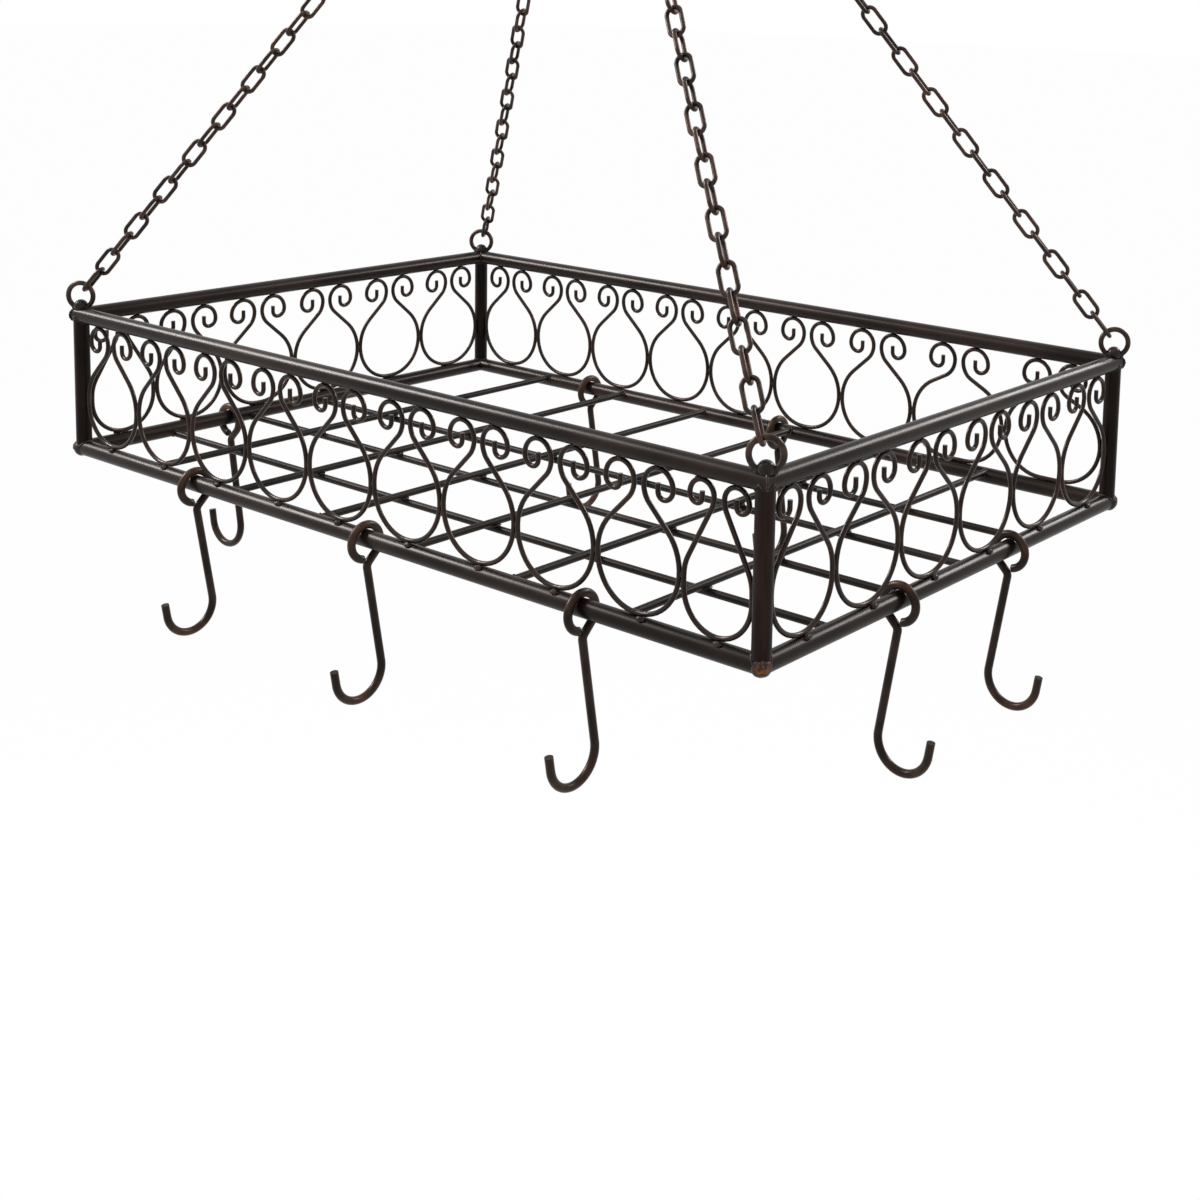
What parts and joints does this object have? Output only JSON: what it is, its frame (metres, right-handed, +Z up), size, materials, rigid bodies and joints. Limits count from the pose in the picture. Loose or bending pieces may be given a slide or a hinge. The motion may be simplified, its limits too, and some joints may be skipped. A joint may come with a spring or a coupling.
{
  "type": "hanging pot rack",
  "caption": "Hanging pot rack: welded tube basket with scroll-work sides and a bar grid, hung by four chains from a ring on a ceiling hook, with pot hooks on its bottom rails.",
  "frame": {"origin": "where the ceiling hook's screw shank leaves the ceiling, on the shank's axis", "axes": "+Z up along the shank into the ceiling, +X along the long sides, -Y towards the front side, which carries three outward hooks"},
  "size_m": [0.7806, 0.489, 0.8728],
  "materials": {
    "frame_bronze": "dark oil-rubbed bronze, satin, copper showing at rubbed corners",
    "scroll_bronze": "dark oil-rubbed bronze, satin",
    "grid_bronze": "dark grey-bronze, satin",
    "ring_bronze": "dark bronze, semi-gloss",
    "chain_bronze": "dark bronze, semi-gloss",
    "hook_bronze": "dark bronze with warm brown highlights, semi-gloss"
  },
  "bodies": {
    "ceiling_hook": {"ceiling_hook": "ring_bronze"},
    "top_ring": {"top_ring": "ring_bronze"},
    "basket": {"chain_front_left": "chain_bronze", "chain_front_right": "chain_bronze", "chain_back_right": "chain_bronze", "chain_back_left": "chain_bronze", "corner_ring_front_left": "ring_bronze", "corner_ring_front_right": "ring_bronze", "corner_ring_back_right": "ring_bronze", "corner_ring_back_left": "ring_bronze", "top_rail_front": "frame_bronze", "top_rail_right": "frame_bronze", "top_rail_back": "frame_bronze", "top_rail_left": "frame_bronze", "bottom_rail_front": "frame_bronze", "bottom_rail_right": "frame_bronze", "bottom_rail_back": "frame_bronze", "bottom_rail_left": "frame_bronze", "corner_post_front_left": "frame_bronze", "corner_post_front_right": "frame_bronze", "corner_post_back_right": "frame_bronze", "corner_post_back_left": "frame_bronze", "scrolls_front": "scroll_bronze", "scrolls_right": "scroll_bronze", "scrolls_back": "scroll_bronze", "scrolls_left": "scroll_bronze", "cross_bar_1": "grid_bronze", "cross_bar_2": "grid_bronze", "cross_bar_3": "grid_bronze", "cross_bar_4": "grid_bronze", "cross_bar_5": "grid_bronze", "cross_bar_6": "grid_bronze", "long_bar_1": "grid_bronze", "long_bar_2": "grid_bronze", "long_bar_3": "grid_bronze", "long_bar_4": "grid_bronze"},
    "pot_hook_front_1": {"pot_hook_front_1": "hook_bronze"},
    "pot_hook_front_2": {"pot_hook_front_2": "hook_bronze"},
    "pot_hook_front_3": {"pot_hook_front_3": "hook_bronze"},
    "pot_hook_right_1": {"pot_hook_right_1": "hook_bronze"},
    "pot_hook_right_2": {"pot_hook_right_2": "hook_bronze"},
    "pot_hook_back_1": {"pot_hook_back_1": "hook_bronze"},
    "pot_hook_back_2": {"pot_hook_back_2": "hook_bronze"},
    "pot_hook_left_1": {"pot_hook_left_1": "hook_bronze"}
  },
  "joints": [
    {"name": "ring_swing", "type": "hinge", "parent": "ceiling_hook", "child": "top_ring", "pos_m": [0, 0, -0.04352], "axis": [0, 1, 0], "range_deg": [-15, 15]},
    {"name": "basket_swing", "type": "hinge", "parent": "top_ring", "child": "basket", "pos_m": [0, 0, -0.07421], "axis": [1, 0, 0], "range_deg": [-15, 15]},
    {"name": "front_1_hook_swing", "type": "hinge", "parent": "basket", "child": "pot_hook_front_1", "pos_m": [-0.20402, -0.2205, -0.71352], "axis": [-1, 0, 0], "range_deg": [-45, 60]},
    {"name": "front_2_hook_swing", "type": "hinge", "parent": "basket", "child": "pot_hook_front_2", "pos_m": [-0.00003, -0.2205, -0.71352], "axis": [-1, 0, 0], "range_deg": [-45, 60]},
    {"name": "front_3_hook_swing", "type": "hinge", "parent": "basket", "child": "pot_hook_front_3", "pos_m": [0.21246, -0.2205, -0.71352], "axis": [-1, 0, 0], "range_deg": [-45, 60]},
    {"name": "right_1_hook_swing", "type": "hinge", "parent": "basket", "child": "pot_hook_right_1", "pos_m": [0.359, -0.07296, -0.71352], "axis": [0, -1, 0], "range_deg": [-45, 60]},
    {"name": "right_2_hook_swing", "type": "hinge", "parent": "basket", "child": "pot_hook_right_2", "pos_m": [0.359, 0.06999, -0.71352], "axis": [0, -1, 0], "range_deg": [-45, 60]},
    {"name": "back_1_hook_swing", "type": "hinge", "parent": "basket", "child": "pot_hook_back_1", "pos_m": [-0.20404, 0.2205, -0.71352], "axis": [1, 0, 0], "range_deg": [-45, 60]},
    {"name": "back_2_hook_swing", "type": "hinge", "parent": "basket", "child": "pot_hook_back_2", "pos_m": [0.02902, 0.2205, -0.71352], "axis": [1, 0, 0], "range_deg": [-45, 60]},
    {"name": "left_1_hook_swing", "type": "hinge", "parent": "basket", "child": "pot_hook_left_1", "pos_m": [-0.359, -0.08005, -0.71352], "axis": [0, 1, 0], "range_deg": [-45, 60]}
  ]
}
